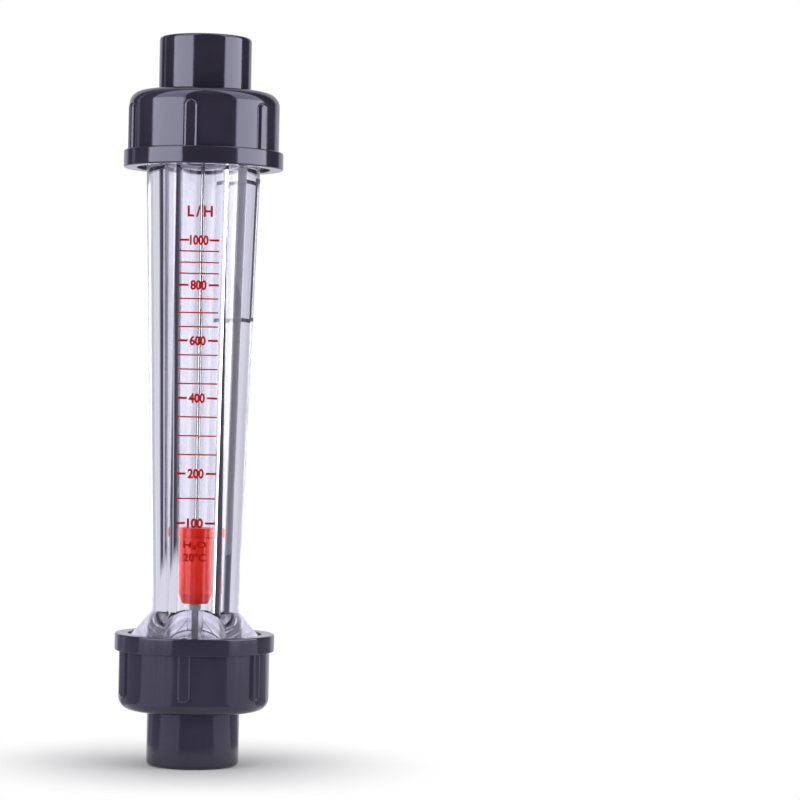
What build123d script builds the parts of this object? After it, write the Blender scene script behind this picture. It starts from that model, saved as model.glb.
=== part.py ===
from build123d import *

import os

# Inline tube flow meter with a union at each end, in millimetres.
# +Z is the flow direction, the origin is the middle of the lower pipe end, and the scale faces -Y.

# Tail pieces: a socket for a glued pipe, and a collar that the nut pulls on
socket_diameter = 20.3
socket_depth = 16.2
socket_lead_in = 0.8
passage_diameter = 15.0
stub_diameter = 26.0
stub_reach = 15.5
stub_edge = 1.0
collar_diameter = 33.2
collar_height = 3.65
collar_edge = 0.4

# Face seals: a ring squeezed between the collar's groove and the tube's end
seal_width = 2.5
seal_guide_gap = 0.5
seal_edge = 0.7
seal_side_play = 0.2
seal_groove_depth = 1.7
face_gap = 0.2

# Union nuts
nut_height = 21.5
nut_diameter = 42.4
nut_end_wall = 4.45
nut_shoulder_radius = 3.6
nut_stub_gap = 0.35
nut_collar_gap = 0.4
flange_diameter = 45.0
flange_height = 4.85
flange_edge = 0.4
mouth_relief = 0.25
mouth_depth = 1.2
mouth_edge = 0.3
rib_count = 6
rib_width = 3.9
rib_height = 0.9
rib_root_depth = 0.8
rib_draft = 12.0
rib_edge = 0.45
rib_end_distance = 3.7
seal_wire_hole_diameter = 2.0
seal_wire_hole_depth = 2.5
upper_nut_turn = -9.7
lower_nut_turn = -6.7

# Measuring tube
tube_length = 157.4
thread_diameter = 36.8
thread_clearance = 0.1
thread_edge = 0.6
lower_thread_length = 12.2
upper_thread_length = 11.0
lower_flare_height = 7.1
upper_flare_height = 2.8
lower_neck_diameter = 24.4
upper_neck_diameter = 32.1
lower_bore_diameter = 16.5
upper_bore_diameter = 21.0
foot_bore_height = 10.6
foot_cone_height = 4.6
flat_width = 14.6
flat_depth = 1.05

# Guides: a ring with arms that holds a hub on the axis
guide_diameter = 22.8
guide_ring_height = 3.2
guide_ring_wall = 1.6
gusset_gap = 0.3
arm_count = 4
arm_width = 1.6
arm_setback = 0.6
hub_diameter = 5.2
hub_floor = 1.3
hub_edge = 0.4
lower_hub_height = 17.2
upper_hub_height = 8.5
gusset_height = 8.0

# Guide rod and its bumpers
rod_diameter = 2.0
rod_fit = 0.02
rod_edge = 0.2
bumper_diameter = 5.3
bumper_height = 1.9
bumper_edge = 0.6
float_rest_height = 21.85

# Float
float_length = 21.35
float_diameter = 14.8
float_rim_diameter = 16.0
float_rim_height = 2.4
float_rim_step = 0.5
float_rim_edge = 0.4
float_foot_diameter = 11.6
float_foot_height = 2.95
float_foot_edge = 0.3
float_running_gap = 0.1
float_wall = 1.2
float_sleeve_wall = 1.1
core_height = 12.6
core_play = 0.1
cap_spigot_height = 1.2

# Levels along the lower end, measured up from the pipe end
nut_end_z = stub_reach
nut_floor_z = nut_end_z + nut_end_wall
nut_rim_z = nut_end_z + nut_height
collar_face_z = nut_floor_z + collar_height
tube_foot_z = collar_face_z + face_gap
total_length = tube_length + 2 * tube_foot_z
tube_head_z = tube_foot_z + tube_length
lower_thread_z = tube_foot_z + lower_thread_length
lower_neck_z = lower_thread_z + lower_flare_height
upper_thread_z = tube_head_z - upper_thread_length
upper_neck_z = upper_thread_z - upper_flare_height

# Radii that more than one piece uses
stub_radius = stub_diameter / 2
collar_radius = collar_diameter / 2
thread_radius = thread_diameter / 2
nut_bore_radius = thread_radius + thread_clearance
mouth_radius = nut_bore_radius + mouth_relief
rod_radius = rod_diameter / 2
hub_radius = hub_diameter / 2
float_hole_radius = rod_radius + float_running_gap
foot_bore_radius = guide_diameter / 2 - guide_ring_wall

# The middle of the float's travel follows from the two bumpers
float_foot_z = tube_foot_z + float_rest_height
float_head_z = float_foot_z + float_length
lower_hub_z = tube_foot_z + lower_hub_height
upper_hub_z = tube_head_z - upper_hub_height
float_travel = upper_hub_z - bumper_height - float_head_z


def corner(sketch, x, y):
    """Return the corner of a sketch nearest to a point in the sketch's own plane."""
    return sketch.vertices().sort_by_distance((x, y))[0]


def turned_end_for_end(part, turn=0.0):
    """Return a piece of the lower end set on the upper end and turned about the axis."""
    return Rot(0, 0, turn) * Pos(0, 0, total_length) * Rot(180, 0, 0) * part


def turned(part, turn):
    """Return a piece turned about the axis."""
    return Rot(0, 0, turn) * part


def save(part, label):
    """Label a finished piece and write it."""
    part.label = label
    export_step(part, f"parts/{label}.step")


os.makedirs("parts", exist_ok=True)

# Tail piece: socket stub, collar and the groove of the face seal, which lies just outside the guide's ring
seal_inner_radius = guide_diameter / 2 + seal_guide_gap
seal_outer_radius = seal_inner_radius + seal_width
groove_floor_z = collar_face_z - seal_groove_depth

with BuildPart() as tail_piece:
    with BuildSketch(Plane.XZ) as tail_profile:
        with BuildLine():
            Polyline(
                (socket_diameter / 2, 0),
                (stub_radius, 0),
                (stub_radius, nut_floor_z),
                (collar_radius, nut_floor_z),
                (collar_radius, collar_face_z),
                (passage_diameter / 2, collar_face_z),
                (passage_diameter / 2, socket_depth),
                (socket_diameter / 2, socket_depth),
                close=True,
            )
        make_face()
        chamfer(corner(tail_profile, stub_radius, 0), stub_edge)
        chamfer(corner(tail_profile, socket_diameter / 2, 0), socket_lead_in)
        chamfer(corner(tail_profile, collar_radius, collar_face_z), collar_edge)
    revolve(axis=Axis.Z)
    with BuildSketch(Plane.XY.offset(collar_face_z)):
        Circle(seal_outer_radius + seal_side_play)
        Circle(seal_inner_radius - seal_side_play, mode=Mode.SUBTRACT)
    extrude(amount=-seal_groove_depth, mode=Mode.SUBTRACT)

with BuildPart() as lower_tail:
    add(tail_piece.part)
save(lower_tail.part, "lower_tail")

with BuildPart() as upper_tail:
    add(turned_end_for_end(tail_piece.part))
save(upper_tail.part, "upper_tail")

# Seal: its section fills the height between the groove floor and the tube's end
with BuildPart() as seal:
    with BuildSketch(Plane.XZ) as seal_section:
        with Locations((seal_inner_radius + seal_width / 2, (groove_floor_z + tube_foot_z) / 2)):
            Rectangle(seal_width, tube_foot_z - groove_floor_z)
        chamfer(seal_section.vertices(), seal_edge)
    revolve(axis=Axis.Z)

with BuildPart() as lower_seal:
    add(seal.part)
save(lower_seal.part, "lower_seal")

with BuildPart() as upper_seal:
    add(turned_end_for_end(seal.part))
save(upper_seal.part, "upper_seal")

# One rib of a union nut, standing on the front of the body
rib_round_z = nut_end_z + rib_end_distance + rib_width / 2
rib_top_z = nut_rim_z - flange_height / 2
rib_root_radius = nut_diameter / 2 - rib_root_depth
rib_plane = Plane(origin=(0, -rib_root_radius, 0), x_dir=(1, 0, 0), z_dir=(0, -1, 0))

with BuildPart() as rib:
    with BuildSketch(rib_plane):
        with Locations((0, rib_round_z)):
            Circle(rib_width / 2)
        with Locations((0, (rib_round_z + rib_top_z) / 2)):
            Rectangle(rib_width, rib_top_z - rib_round_z)
    extrude(amount=rib_root_depth + rib_height, taper=rib_draft)
    chamfer(rib.faces().sort_by(Axis.Y)[0].edges(), rib_edge)

# Union nut: end wall, threaded bore drawn plain, flange, ribs and a blind hole for a seal wire
seal_wire_radius = (mouth_radius + flange_diameter / 2) / 2

with BuildPart() as union_nut:
    with BuildSketch(Plane.XZ) as nut_profile:
        with BuildLine():
            Polyline(
                (stub_radius + nut_stub_gap, nut_end_z),
                (nut_diameter / 2, nut_end_z),
                (nut_diameter / 2, nut_rim_z - flange_height),
                (flange_diameter / 2, nut_rim_z - flange_height),
                (flange_diameter / 2, nut_rim_z),
                (mouth_radius, nut_rim_z),
                (mouth_radius, nut_rim_z - mouth_depth),
                (nut_bore_radius, nut_rim_z - mouth_depth),
                (nut_bore_radius, tube_foot_z),
                (collar_radius + nut_collar_gap, tube_foot_z),
                (collar_radius + nut_collar_gap, nut_floor_z),
                (stub_radius + nut_stub_gap, nut_floor_z),
                close=True,
            )
        make_face()
        fillet(corner(nut_profile, nut_diameter / 2, nut_end_z), nut_shoulder_radius)
        chamfer(corner(nut_profile, flange_diameter / 2, nut_rim_z - flange_height), flange_edge)
        chamfer(corner(nut_profile, flange_diameter / 2, nut_rim_z), flange_edge)
        chamfer(corner(nut_profile, mouth_radius, nut_rim_z), mouth_edge)
    revolve(axis=Axis.Z)
    with PolarLocations(0, rib_count):
        add(rib.part)
    with Locations((0, -seal_wire_radius, nut_rim_z)):
        Hole(seal_wire_hole_diameter / 2, seal_wire_hole_depth)

with BuildPart() as lower_nut:
    add(turned(union_nut.part, lower_nut_turn))
save(lower_nut.part, "lower_nut")

with BuildPart() as upper_nut:
    add(turned_end_for_end(union_nut.part, 180 + upper_nut_turn))
save(upper_nut.part, "upper_nut")

# Measuring tube: tapered stem with a raised front flat, flares, threaded ends drawn plain, and the bore
taper = (upper_neck_diameter - lower_neck_diameter) / 2 / (upper_neck_z - lower_neck_z)


def stem_radius(z):
    """Return the outer radius of the tapered stem at a height."""
    return lower_neck_diameter / 2 + taper * (z - lower_neck_z)


def flat_distance(z):
    """Return the distance from the axis to the front flat at a height."""
    return stem_radius(z) - flat_depth


flat_foot = (-flat_distance(lower_thread_z), lower_thread_z)
flat_head = (-flat_distance(upper_thread_z), upper_thread_z)
lower_flare_slope = (thread_radius - lower_neck_diameter / 2) / lower_flare_height
upper_flare_slope = (thread_radius - upper_neck_diameter / 2) / upper_flare_height
flare_overlap = 2 * flat_depth

with BuildPart() as tube:
    with BuildSketch(Plane.XZ):
        with BuildLine():
            Polyline(
                (0, lower_thread_z),
                (stem_radius(lower_thread_z), lower_thread_z),
                (stem_radius(upper_thread_z), upper_thread_z),
                (0, upper_thread_z),
                close=True,
            )
        make_face()
    revolve(axis=Axis.Z)
    with BuildSketch(Plane.YZ):
        with BuildLine():
            Polyline(
                flat_foot,
                flat_head,
                (-thread_diameter, upper_thread_z),
                (-thread_diameter, lower_thread_z),
                close=True,
            )
        make_face()
    extrude(amount=thread_diameter, both=True, mode=Mode.SUBTRACT)
    with BuildSketch(Plane.YZ):
        with BuildLine():
            Polyline(flat_foot, flat_head, (0, upper_thread_z), (0, lower_thread_z), close=True)
        make_face()
    extrude(amount=flat_width / 2, both=True)
    with BuildSketch(Plane.XZ) as flare_profile:
        with BuildLine():
            Polyline(
                (0, tube_foot_z),
                (thread_radius, tube_foot_z),
                (thread_radius, lower_thread_z),
                (lower_neck_diameter / 2, lower_neck_z),
                (lower_neck_diameter / 2 - flare_overlap, lower_neck_z + flare_overlap / lower_flare_slope),
                (0, lower_neck_z + flare_overlap / lower_flare_slope),
                close=True,
            )
        make_face()
        with BuildLine():
            Polyline(
                (0, tube_head_z),
                (thread_radius, tube_head_z),
                (thread_radius, upper_thread_z),
                (upper_neck_diameter / 2, upper_neck_z),
                (upper_neck_diameter / 2 - flare_overlap, upper_neck_z - flare_overlap / upper_flare_slope),
                (0, upper_neck_z - flare_overlap / upper_flare_slope),
                close=True,
            )
        make_face()
        chamfer(corner(flare_profile, thread_radius, tube_foot_z), thread_edge)
        chamfer(corner(flare_profile, thread_radius, tube_head_z), thread_edge)
    revolve(axis=Axis.Z)
    with BuildSketch(Plane.XZ):
        with BuildLine():
            Polyline(
                (0, tube_foot_z),
                (guide_diameter / 2, tube_foot_z),
                (guide_diameter / 2, tube_foot_z + guide_ring_height),
                (foot_bore_radius, tube_foot_z + guide_ring_height),
                (foot_bore_radius, tube_foot_z + guide_ring_height + foot_bore_height),
                (lower_bore_diameter / 2, tube_foot_z + guide_ring_height + foot_bore_height + foot_cone_height),
                (upper_bore_diameter / 2, tube_head_z - guide_ring_height),
                (guide_diameter / 2, tube_head_z - guide_ring_height),
                (guide_diameter / 2, tube_head_z),
                (0, tube_head_z),
                close=True,
            )
        make_face()
    revolve(axis=Axis.Z, mode=Mode.SUBTRACT)
save(tube.part, "measuring_tube")


def build_guide(hub_height):
    """Build the guide of the lower end: a ring in the tube, arms, a hub and gussets up to it."""
    arm_foot_z = tube_foot_z + arm_setback
    arm_top_z = tube_foot_z + guide_ring_height
    arm_reach = guide_diameter / 2 - guide_ring_wall / 2
    gusset_top_z = min(arm_top_z + gusset_height, tube_foot_z + hub_height - hub_edge)
    with BuildPart() as arm:
        with BuildSketch(Plane.XZ):
            with BuildLine():
                Polyline(
                    (0, arm_foot_z),
                    (arm_reach, arm_foot_z),
                    (arm_reach, arm_top_z),
                    (foot_bore_radius - gusset_gap, arm_top_z),
                    (hub_radius, gusset_top_z),
                    (0, gusset_top_z),
                    close=True,
                )
            make_face()
        extrude(amount=arm_width / 2, both=True)
    with BuildPart() as guide:
        with BuildSketch(Plane.XY.offset(tube_foot_z)):
            Circle(guide_diameter / 2)
            Circle(foot_bore_radius, mode=Mode.SUBTRACT)
        extrude(amount=guide_ring_height)
        with BuildSketch(Plane.XZ) as hub_profile:
            with BuildLine():
                Polyline(
                    (0, arm_foot_z),
                    (hub_radius, arm_foot_z),
                    (hub_radius, tube_foot_z + hub_height),
                    (0, tube_foot_z + hub_height),
                    close=True,
                )
            make_face()
            chamfer(corner(hub_profile, hub_radius, tube_foot_z + hub_height), hub_edge)
        revolve(axis=Axis.Z)
        with PolarLocations(0, arm_count):
            add(arm.part)
        with Locations((0, 0, tube_foot_z + hub_height)):
            Hole(rod_radius + rod_fit, hub_height - arm_setback - hub_floor)
    return guide.part


with BuildPart() as lower_guide:
    add(build_guide(lower_hub_height))
save(lower_guide.part, "lower_guide")

with BuildPart() as upper_guide:
    add(turned_end_for_end(build_guide(upper_hub_height)))
save(upper_guide.part, "upper_guide")

# Guide rod, held in the blind holes of both hubs
rod_foot_z = tube_foot_z + arm_setback + hub_floor
rod_head_z = total_length - rod_foot_z

with BuildPart() as guide_rod:
    with BuildSketch(Plane.XY.offset(rod_foot_z)):
        Circle(rod_radius)
    extrude(amount=rod_head_z - rod_foot_z)
    chamfer(guide_rod.edges().filter_by(GeomType.CIRCLE), rod_edge)
save(guide_rod.part, "guide_rod")


def build_bumper(foot_z):
    """Build a stop ring on the rod, with its outer edges broken."""
    with BuildPart() as bumper:
        with BuildSketch(Plane.XZ) as bumper_profile:
            with BuildLine():
                Polyline(
                    (rod_radius + rod_fit, foot_z),
                    (bumper_diameter / 2, foot_z),
                    (bumper_diameter / 2, foot_z + bumper_height),
                    (rod_radius + rod_fit, foot_z + bumper_height),
                    close=True,
                )
            make_face()
            chamfer(corner(bumper_profile, bumper_diameter / 2, foot_z), bumper_edge)
            chamfer(corner(bumper_profile, bumper_diameter / 2, foot_z + bumper_height), bumper_edge)
        revolve(axis=Axis.Z)
    return bumper.part


with BuildPart() as lower_bumper:
    add(build_bumper(float_foot_z - bumper_height))
save(lower_bumper.part, "lower_bumper")

with BuildPart() as upper_bumper:
    add(build_bumper(upper_hub_z - bumper_height))
save(upper_bumper.part, "upper_bumper")

# Float body: a shell with a reading rim, a sleeve on the rod and a pocket that is open below
cap_top_z = float_foot_z + float_foot_height
pocket_radius = float_diameter / 2 - float_wall
sleeve_radius = float_hole_radius + float_sleeve_wall
pocket_top_z = cap_top_z + cap_spigot_height + core_height
rim_z = float_head_z - float_rim_height

with BuildPart() as float_body:
    with BuildSketch(Plane.XZ) as float_profile:
        with BuildLine():
            Polyline(
                (float_hole_radius, cap_top_z),
                (sleeve_radius, cap_top_z),
                (sleeve_radius, pocket_top_z),
                (pocket_radius, pocket_top_z),
                (pocket_radius, cap_top_z),
                (float_diameter / 2, cap_top_z),
                (float_diameter / 2, rim_z - float_rim_step),
                (float_rim_diameter / 2, rim_z),
                (float_rim_diameter / 2, float_head_z),
                (float_hole_radius, float_head_z),
                close=True,
            )
        make_face()
        chamfer(corner(float_profile, float_rim_diameter / 2, float_head_z), float_rim_edge)
    revolve(axis=Axis.Z)
save(float_body.part, "float_body")

# Float core: the steel ring in the pocket
with BuildPart() as float_core:
    with BuildSketch(Plane.XY.offset(pocket_top_z - core_height)):
        Circle(pocket_radius - core_play)
        Circle(sleeve_radius + core_play, mode=Mode.SUBTRACT)
    extrude(amount=core_height)
save(float_core.part, "float_core")

# Float cap: the tapered foot, with a spigot that closes the pocket
with BuildPart() as float_cap:
    with BuildSketch(Plane.XZ) as cap_profile:
        with BuildLine():
            Polyline(
                (float_hole_radius, float_foot_z),
                (float_foot_diameter / 2, float_foot_z),
                (float_diameter / 2, cap_top_z),
                (float_hole_radius, cap_top_z),
                close=True,
            )
        make_face()
        chamfer(corner(cap_profile, float_foot_diameter / 2, float_foot_z), float_foot_edge)
    revolve(axis=Axis.Z)
    with BuildSketch(Plane.XY.offset(cap_top_z)):
        Circle(pocket_radius)
        Circle(sleeve_radius, mode=Mode.SUBTRACT)
    extrude(amount=cap_spigot_height)
save(float_cap.part, "float_cap")

print(f"total length {total_length:.2f}, float travel {float_travel:.2f}")
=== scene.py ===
import math

import bmesh
import bpy
from mathutils import Matrix, Vector


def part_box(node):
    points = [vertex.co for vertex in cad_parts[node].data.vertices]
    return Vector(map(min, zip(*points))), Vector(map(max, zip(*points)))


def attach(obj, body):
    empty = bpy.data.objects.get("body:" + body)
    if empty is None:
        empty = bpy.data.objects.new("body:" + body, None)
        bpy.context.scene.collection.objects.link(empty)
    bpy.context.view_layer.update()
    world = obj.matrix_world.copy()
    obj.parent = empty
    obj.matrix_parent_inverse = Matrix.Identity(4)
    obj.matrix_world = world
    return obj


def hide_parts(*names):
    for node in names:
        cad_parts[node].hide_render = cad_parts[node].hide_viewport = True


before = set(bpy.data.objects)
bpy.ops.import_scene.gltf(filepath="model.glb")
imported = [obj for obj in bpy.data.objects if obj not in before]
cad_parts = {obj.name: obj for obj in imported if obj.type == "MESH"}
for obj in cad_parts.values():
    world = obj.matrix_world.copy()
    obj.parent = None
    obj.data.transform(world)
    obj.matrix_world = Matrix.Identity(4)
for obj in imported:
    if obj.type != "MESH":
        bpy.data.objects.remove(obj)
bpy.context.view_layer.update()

bl_info = {
    "name": "Union Flow Meter",
    "version": (1, 0, 0),
    "blender": (4, 5, 0),
    "location": "View3D > Sidebar > Flow Meter",
    "description": "Models and finishes an inline tube flow meter on its packed frame",
    "category": "Add Mesh",
}

# The frame is in metres and the sizes below are in millimetres
MM = 0.001
UP = Vector((0, 0, 1))
# Size of one pixel of the photograph at the object
PIXEL = 0.2825

# Levels and radii that the frame's solids share, measured up from the lower pipe end
TOTAL_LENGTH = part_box("upper_tail")[1].z / MM
TUBE_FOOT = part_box("measuring_tube")[0].z / MM
TUBE_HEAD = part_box("measuring_tube")[1].z / MM
THREAD_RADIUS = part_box("measuring_tube")[1].x / MM
THREAD_DEPTH = 0.9
THREAD_CORE = THREAD_RADIUS - THREAD_DEPTH
LOWER_THREAD_LENGTH = 12.2
UPPER_THREAD_LENGTH = 11.0
LOWER_FLARE_HEIGHT = 7.1
UPPER_FLARE_HEIGHT = 1.6
LOWER_THREAD_TOP = TUBE_FOOT + LOWER_THREAD_LENGTH
LOWER_NECK = LOWER_THREAD_TOP + LOWER_FLARE_HEIGHT
UPPER_THREAD_FOOT = TUBE_HEAD - UPPER_THREAD_LENGTH
UPPER_NECK = UPPER_THREAD_FOOT - UPPER_FLARE_HEIGHT
LOWER_NECK_RADIUS = 12.2
UPPER_NECK_RADIUS = 16.05
FLAT_DEPTH = 1.05
FLAT_HALF_WIDTH = 7.3
STEM_TAPER = (UPPER_NECK_RADIUS - LOWER_NECK_RADIUS) / (UPPER_NECK - LOWER_NECK)


def stem_radius(z):
    """Return the outer radius of the tapered stem at a height."""
    return LOWER_NECK_RADIUS + STEM_TAPER * (z - LOWER_NECK)


def flat_distance(z):
    """Return the distance from the axis to the front flat at a height."""
    return stem_radius(z) - FLAT_DEPTH


# Shader helpers


class Value:
    """A shader socket that takes part in sums like a number."""

    def __init__(self, maker, socket):
        self.maker = maker
        self.socket = socket

    def math(self, operation, *others):
        """Return this value and others through a math node."""
        return self.maker.math(operation, self, *others)

    def __add__(self, other):
        return self.math("ADD", other)

    def __radd__(self, other):
        return self.maker.math("ADD", other, self)

    def __sub__(self, other):
        return self.math("SUBTRACT", other)

    def __rsub__(self, other):
        return self.maker.math("SUBTRACT", other, self)

    def __mul__(self, other):
        return self.math("MULTIPLY", other)

    def __rmul__(self, other):
        return self.maker.math("MULTIPLY", other, self)

    def __truediv__(self, other):
        return self.math("DIVIDE", other)

    def __rtruediv__(self, other):
        return self.maker.math("DIVIDE", other, self)

    def __abs__(self):
        return self.math("ABSOLUTE")

    def __gt__(self, other):
        return self.math("GREATER_THAN", other)

    def __lt__(self, other):
        return self.math("LESS_THAN", other)

    def ramp(self, low, high, start=0.0, end=1.0):
        """Ease from start to end while the value goes from low to high."""
        return self.maker.node(
            "ShaderNodeMapRange",
            {"interpolation_type": "SMOOTHSTEP"},
            {"Value": self, "From Min": low, "From Max": high, "To Min": start, "To Max": end},
        )["Result"]

    def between(self, low, high, edge):
        """Return 1 between two limits and 0 outside, with an eased edge."""
        return self.ramp(low - edge, low + edge) * self.ramp(high - edge, high + edge, 1.0, 0.0)


class Maker:
    """Builds one node tree, for a material or for the world."""

    def __init__(self, tree):
        self.tree = tree
        tree.nodes.clear()

    def node(self, kind, settings=None, inputs=None):
        """Add a node with its settings, then the values or links of its sockets."""
        node = self.tree.nodes.new(kind)
        for name, value in (settings or {}).items():
            setattr(node, name, value)
        for name, value in (inputs or {}).items():
            self.fill(node.inputs[name], value)
        return {socket.name: Value(self, socket) for socket in reversed(node.outputs) if socket.enabled}

    def fill(self, socket, value):
        """Link a value to a socket, or set the socket to a number or a colour."""
        if isinstance(value, Value):
            self.tree.links.new(value.socket, socket)
        else:
            socket.default_value = value

    def math(self, operation, *terms):
        """Add a math node for one or more terms."""
        node = self.tree.nodes.new("ShaderNodeMath")
        node.operation = operation
        for socket, term in zip(node.inputs, terms):
            self.fill(socket, term)
        return Value(self, node.outputs[0])

    def place(self):
        """Return the x, y and z of a point on the object, in millimetres."""
        point = self.node("ShaderNodeTexCoord")["Object"]
        parts = self.node("ShaderNodeSeparateXYZ", inputs={"Vector": point})
        return parts["X"] / MM, parts["Y"] / MM, parts["Z"] / MM

    def grain(self, size, detail=2.0, stretch=(1, 1, 1)):
        """Return a noise of about that size in millimetres, stretched along the axes."""
        point = self.node("ShaderNodeTexCoord")["Object"]
        scaled = self.node(
            "ShaderNodeVectorMath",
            {"operation": "MULTIPLY"},
            {0: point, 1: tuple(1 / (size * MM * axis) for axis in stretch)},
        )["Vector"]
        inputs = {"Vector": scaled, "Scale": 1.0, "Detail": detail}
        return self.node("ShaderNodeTexNoise", None, inputs)["Fac"]

    def colour_mix(self, factor, first, second):
        """Mix two colours by a factor."""
        inputs = {0: factor, 6: first, 7: second}
        return self.node("ShaderNodeMix", {"data_type": "RGBA"}, inputs)["Result"]

    def bump(self, height, depth):
        """Return a normal from a height, where a step of 1 is that many millimetres."""
        inputs = {"Height": height, "Distance": depth * MM, "Strength": 1.0}
        return self.node("ShaderNodeBump", None, inputs)["Normal"]

    def surface(self, inputs):
        """Add a principled surface."""
        return self.node("ShaderNodeBsdfPrincipled", None, inputs)["BSDF"]

    def blend(self, factor, first, second):
        """Mix two shaders by a factor."""
        return self.node("ShaderNodeMixShader", None, {0: factor, 1: first, 2: second})["Shader"]

    def see_through(self, colour):
        """Add a transparent shader."""
        return self.node("ShaderNodeBsdfTransparent", None, {"Color": colour})["BSDF"]

    def glow(self, colour, strength):
        """Add a shader that gives light."""
        return self.node("ShaderNodeEmission", None, {"Color": colour, "Strength": strength})["Emission"]

    def finish(self, shader, kind="ShaderNodeOutputMaterial"):
        """Link a shader to the output."""
        self.node(kind, None, {"Surface": shader})


def new_material(name):
    """Add a material and return the maker of its nodes."""
    material = bpy.data.materials.new(name + "_finish")
    material.use_nodes = True
    return Maker(material.node_tree)


def rgba(colour):
    """Return a colour with full alpha."""
    return (colour[0], colour[1], colour[2], 1.0)


def toned(colour, share, lift=0.0):
    """Return a colour times a share and plus a lift, and no lighter than white."""
    return rgba([min(1.0, channel * share + lift) for channel in colour])


# Finishes

# The tube's satin threads end this far in from its ends, and the painted glow on them fades between two
# depths
THREAD_END = 11.6
PAINTED_GLOW_DEPTH = 8.4, 9.8
# The painted glow on the threads also fades towards the sides, between two shares of the radius
PAINTED_GLOW_SIDE = 0.72, 0.94
# Heights between which the print goes from its darker foot, in front of the float, to its usual ink
DARK_INK_END = 79, 81
# The label's front rule is this many times as wide as its back rule
FRONT_RULE = 5


def clear_plastic():
    """Clear moulded plastic with faint flow lines along the axis, and satin where the two threads are, with
    a painted glow on the satin that stands in for light led down the clear wall.
    """
    chosen = settings()
    maker = new_material("clear_plastic")
    x, y, z = maker.place()
    radius = maker.math("SQRT", x * x + y * y)
    outer = radius > THREAD_CORE - 1.0
    depth = maker.math("MINIMUM", z - TUBE_FOOT, TUBE_HEAD - z)
    threads = outer * (depth < THREAD_END)
    painted_glow_fade = maker.math("MAXIMUM", (abs(x) / radius).ramp(*PAINTED_GLOW_SIDE), depth.ramp(*PAINTED_GLOW_DEPTH))
    flow = maker.grain(0.9, 1.0, (1, 1, 500))
    wave = maker.grain(6.0, 1.0, (1, 1, 300))
    normal = maker.bump(flow * 0.45 + wave * 0.55, chosen.flow_line_depth)
    glass = maker.surface(
        {
            "Base Color": rgba(chosen.clear_colour),
            "Transmission Weight": 1.0,
            "Roughness": 0.0,
            "IOR": chosen.clear_index,
            "Specular Tint": (0.42, 0.4, 0.48, 1),
            "Normal": normal,
        }
    )
    # The satin's emission is painted light: a glow that stands in for light led down the clear wall into
    # the threads, brightest near the tube's ends and away from the sides. The satin's haze also thins where
    # that painted glow fades.
    satin = maker.surface(
        {
            "Base Color": (0.9, 0.89, 0.97, 1),
            "Roughness": 0.5,
            "Emission Color": maker.colour_mix(painted_glow_fade, (0.9, 0.88, 1.0, 1), (0.1, 0.095, 0.13, 1)),
            "Emission Strength": chosen.thread_glow,
        }
    )
    cloud = maker.grain(0.5, 2.0).ramp(0.3, 0.7, chosen.thread_haze * 0.85, chosen.thread_haze)
    haze = threads * cloud * painted_glow_fade.ramp(0, 1, 1.0, 0.4)
    ray = maker.node("ShaderNodeLightPath")
    open_way = maker.see_through((0.93, 0.93, 0.96, 1))
    maker.finish(maker.blend(ray["Is Shadow Ray"], maker.blend(haze, glass, satin), open_way))


def grey_plastic():
    """Dark grey moulded plastic: smooth and semi-gloss, with a faint ripple."""
    chosen = settings()
    maker = new_material("grey_plastic")
    ripple = maker.grain(6.0, 2.0)
    fine = maker.grain(0.35, 3.0)
    streak = maker.grain(0.9, 2.0, (1, 1, 25))
    tone = maker.grain(14.0, 3.0)
    base = rgba(chosen.grey_colour)
    paler = toned(chosen.grey_colour, 1.25)
    inputs = {
        "Base Color": maker.colour_mix(tone.ramp(0.35, 0.7), base, paler),
        "Roughness": streak.ramp(0.3, 0.75, chosen.grey_roughness, chosen.grey_roughness + 0.08),
        "IOR": 1.54,
        "Specular Tint": (0.82, 0.8, 1.0, 1),
        "Normal": maker.bump(ripple * 0.6 + streak * 0.2 + fine * 0.2, 0.014),
    }
    maker.finish(maker.surface(inputs))


def red_plastic():
    """Red translucent plastic of the float, with turning marks."""
    chosen = settings()
    maker = new_material("red_plastic")
    marks = maker.grain(0.5, 2.0, (8, 8, 1))
    cloud = maker.grain(4.0, 2.0)
    base = rgba(chosen.red_colour)
    paler = toned(chosen.red_colour, 1.15, 0.003)
    inputs = {
        "Base Color": maker.colour_mix(cloud.ramp(0.35, 0.7), base, paler),
        "Roughness": marks.ramp(0.3, 0.7, 0.28, 0.4),
        "Specular IOR Level": 0.25,
        "Specular Tint": (1.0, 0.4, 0.25, 1),
        "Subsurface Weight": 0.25,
        "Subsurface Radius": (1.0, 0.25, 0.12),
        "Subsurface Scale": 1.5 * MM,
        "IOR": 1.5,
        "Normal": maker.bump(marks, 0.01),
    }
    maker.finish(maker.surface(inputs))


def pale_plastic(name="pale_plastic", colour=(0.86, 0.86, 0.9), see_through=0.95):
    """Milky plastic of the guides and stops."""
    maker = new_material(name)
    cloud = maker.grain(2.5, 2.0)
    base = rgba(colour)
    paler = toned(colour, 1.12)
    inputs = {
        "Base Color": maker.colour_mix(cloud.ramp(0.3, 0.7), base, paler),
        "Roughness": cloud.ramp(0.3, 0.7, 0.1, 0.16),
        "Transmission Weight": see_through,
        "IOR": 1.08,
        "Normal": maker.bump(maker.grain(0.8, 2.0), 0.008),
    }
    maker.finish(maker.surface(inputs))


def seal_rubber():
    """Black rubber with a fine matt grain."""
    maker = new_material("seal_rubber")
    fine = maker.grain(0.25, 3.0)
    inputs = {
        "Base Color": maker.colour_mix(fine, (0.012, 0.012, 0.013, 1), (0.03, 0.03, 0.032, 1)),
        "Roughness": fine.ramp(0.3, 0.7, 0.55, 0.75),
        "Normal": maker.bump(fine, 0.02),
    }
    maker.finish(maker.surface(inputs))


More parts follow.
